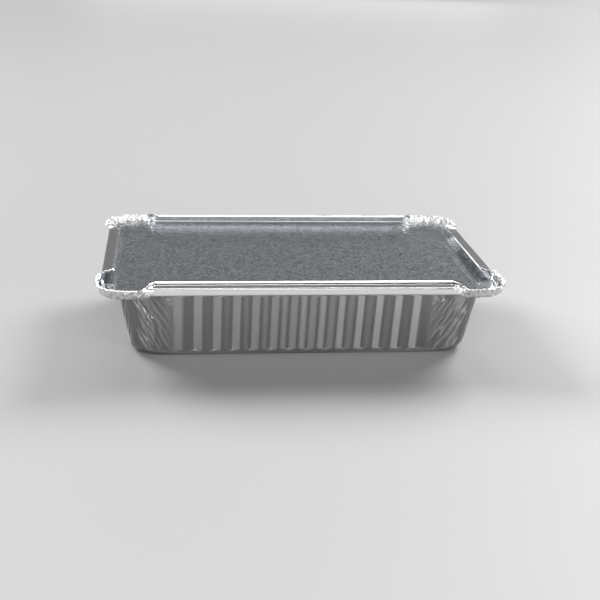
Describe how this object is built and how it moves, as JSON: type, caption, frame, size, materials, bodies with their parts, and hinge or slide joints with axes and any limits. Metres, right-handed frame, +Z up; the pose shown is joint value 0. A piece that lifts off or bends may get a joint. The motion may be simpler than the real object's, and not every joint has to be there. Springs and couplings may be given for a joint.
{
  "type": "foil food container",
  "caption": "Oblong foil food tray with fluted walls and gathered corners, closed by a flat foil-faced lid under its folded rim.",
  "frame": {"origin": "middle of the underside of the base, on the surface that the container stands on", "axes": "+X along the long side, -Y towards the long side that faces the viewer, +Z up"},
  "size_m": [0.2154, 0.1424, 0.0445],
  "materials": {
    "foil": "bright rolled foil, creased where it was drawn",
    "lid_card": "satin foil facing with a fine emboss"
  },
  "bodies": {
    "root": {"tray": "foil", "lid": "lid_card"}
  },
  "joints": []
}
